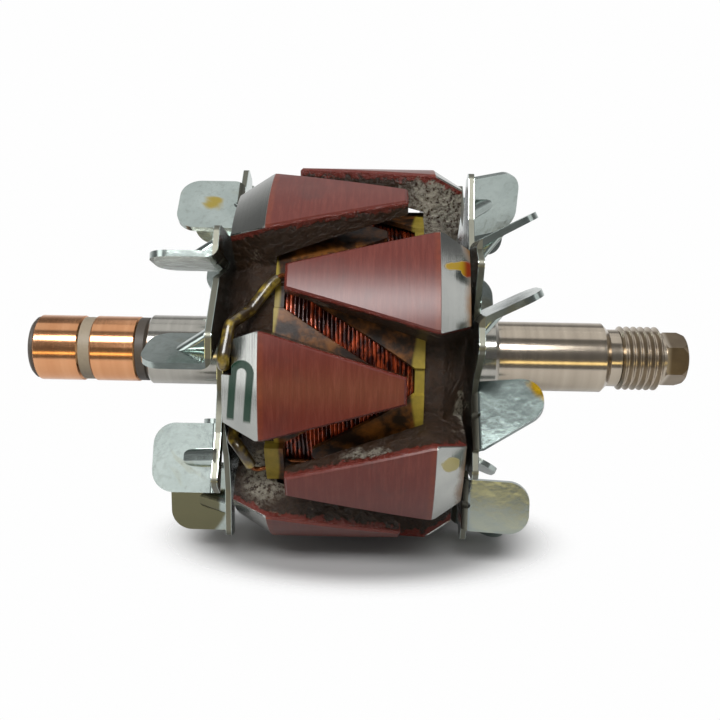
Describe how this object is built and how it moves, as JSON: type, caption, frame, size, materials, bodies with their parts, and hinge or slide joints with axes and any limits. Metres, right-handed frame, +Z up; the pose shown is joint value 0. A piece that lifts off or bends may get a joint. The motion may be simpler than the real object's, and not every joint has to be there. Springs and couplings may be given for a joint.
{
  "type": "alternator rotor",
  "caption": "Claw-pole alternator rotor with a field coil, two slip rings, two pressed fans and a shaft with a threaded drive end.",
  "frame": {"origin": "on the shaft axis, at the shoulder that the drive end bearing sits against", "axes": "+X along the shaft to its threaded drive end, +Z up as in the picture, -Y to the viewer"},
  "size_m": [0.1414, 0.0792, 0.0811],
  "materials": {
    "shaft_steel": "ground bearing seats, turned ends",
    "ring_copper": "polished by the brushes",
    "moulded_resin": "matt moulded",
    "pole_steel": "thin dark red oxide paint over forged steel",
    "core_steel": "turned",
    "amber_nylon": "translucent, glossy with varnish",
    "winding": "enamelled wire under dark varnish",
    "enamelled_wire": "enamelled copper",
    "yellow_sleeving": "glossy sleeving",
    "tinned_clip": "tinned and soldered",
    "zinc_sheet": "zinc-plated pressed sheet"
  },
  "bodies": {
    "root": {"shaft": "shaft_steel", "slip_ring_outer": "ring_copper", "slip_ring_inner": "ring_copper", "slip_ring_carrier": "moulded_resin", "bore_insulator": "moulded_resin", "conductor_outer_ring": "enamelled_wire", "conductor_inner_ring": "enamelled_wire", "rear_claw_pole": "pole_steel", "front_claw_pole": "pole_steel", "pole_core": "core_steel", "bobbin": "amber_nylon", "field_coil": "winding", "coil_lead_start": "enamelled_wire", "coil_lead_finish": "enamelled_wire", "lead_sleeve_start": "yellow_sleeving", "lead_sleeve_finish": "yellow_sleeving", "lead_clip_start": "tinned_clip", "lead_clip_finish": "tinned_clip", "rear_fan": "zinc_sheet", "front_fan": "zinc_sheet"}
  },
  "joints": []
}
